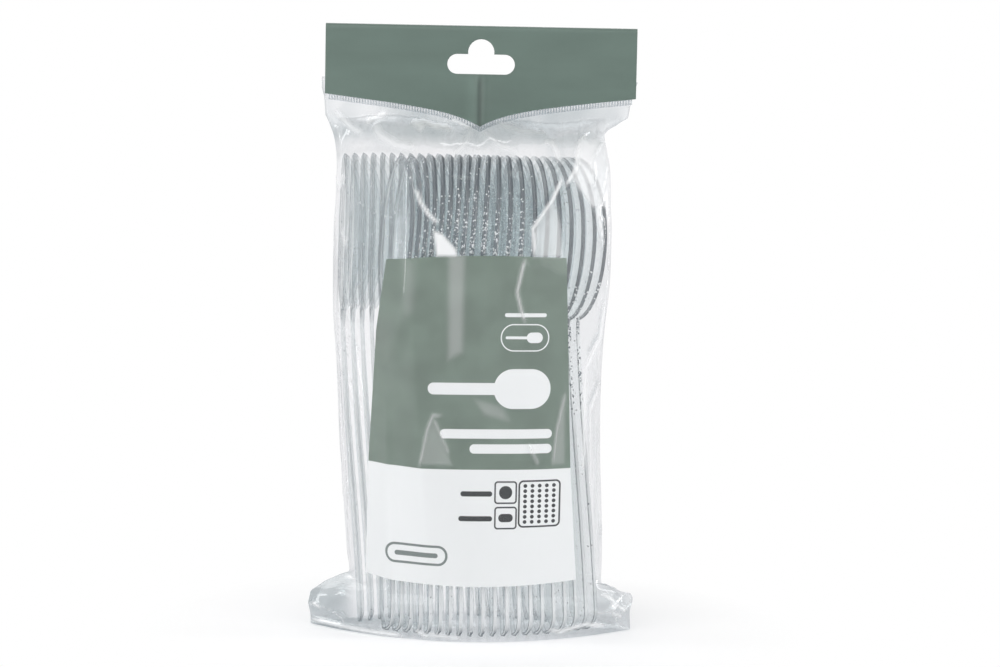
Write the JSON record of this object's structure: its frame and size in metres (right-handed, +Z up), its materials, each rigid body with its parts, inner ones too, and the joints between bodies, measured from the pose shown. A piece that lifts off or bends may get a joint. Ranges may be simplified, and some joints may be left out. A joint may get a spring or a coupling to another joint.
{
  "type": "plastic cutlery pack",
  "caption": "Hang-sell pack of nested clear plastic teaspoons in two rows, in a clear film pouch with a boat-shaped base under a folded header band with a hang hole.",
  "frame": {"origin": "middle of the flat base, on the surface that the pack stands on", "axes": "+Z up, -Y is the printed front, +X is to the right of someone who looks at the front"},
  "size_m": [0.096, 0.0724, 0.18],
  "materials": {
    "film": "clear, thin and glossy",
    "header": "printed, satin",
    "spoon": "clear with fine glitter, glossy"
  },
  "bodies": {
    "root": {"film_pouch": "film", "header_band": "header", "spoon_front_01": "spoon", "spoon_front_02": "spoon", "spoon_front_03": "spoon", "spoon_front_04": "spoon", "spoon_front_05": "spoon", "spoon_front_06": "spoon", "spoon_front_07": "spoon", "spoon_front_08": "spoon", "spoon_front_09": "spoon", "spoon_front_10": "spoon", "spoon_front_11": "spoon", "spoon_front_12": "spoon", "spoon_front_13": "spoon", "spoon_front_14": "spoon", "spoon_front_15": "spoon", "spoon_front_16": "spoon", "spoon_front_17": "spoon", "spoon_front_18": "spoon", "spoon_front_19": "spoon", "spoon_front_20": "spoon", "spoon_back_01": "spoon", "spoon_back_02": "spoon", "spoon_back_03": "spoon", "spoon_back_04": "spoon", "spoon_back_05": "spoon", "spoon_back_06": "spoon", "spoon_back_07": "spoon", "spoon_back_08": "spoon", "spoon_back_09": "spoon", "spoon_back_10": "spoon", "spoon_back_11": "spoon", "spoon_back_12": "spoon", "spoon_back_13": "spoon", "spoon_back_14": "spoon", "spoon_back_15": "spoon", "spoon_back_16": "spoon", "spoon_back_17": "spoon", "spoon_back_18": "spoon", "spoon_back_19": "spoon", "spoon_back_20": "spoon"}
  },
  "joints": []
}
